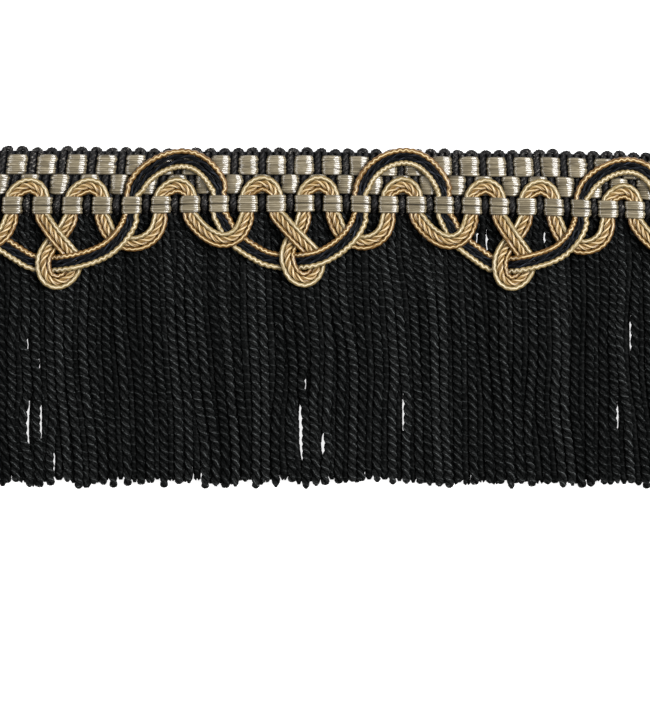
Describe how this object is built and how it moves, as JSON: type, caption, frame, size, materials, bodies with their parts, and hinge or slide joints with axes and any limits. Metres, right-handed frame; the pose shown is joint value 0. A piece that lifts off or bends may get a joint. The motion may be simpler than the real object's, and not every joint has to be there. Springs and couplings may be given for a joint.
{
  "type": "bullion fringe",
  "caption": "Furnishing fringe, a cut length: woven heading with picots, satin blocks and scrolling gimps, over a skirt of twisted bullion cords.",
  "frame": {"origin": "middle of the bounding box, at the level of the surface that the fringe lies on", "axes": "+X along the cut length, +Y from the skirt to the picot edge, +Z out of the face of the trimming"},
  "size_m": [0.1619, 0.0772, 0.0053],
  "materials": {
    "black_weft": "matte black twisted weft cord",
    "satin_warp": "lustrous cream rayon floats",
    "cream_gimp": "cream and light gold plaited plies",
    "black_gold_gimp": "black floss between a gold and a cream cord",
    "bullion_cord": "black two-ply twisted bullion cord"
  },
  "bodies": {
    "root": {"heading": "black_weft", "satin_row_top": "satin_warp", "satin_row_middle": "satin_warp", "satin_row_bottom": "satin_warp", "cream_gimp": "cream_gimp", "black_gold_gimp": "black_gold_gimp", "bullion_skirt": "bullion_cord"}
  },
  "joints": []
}
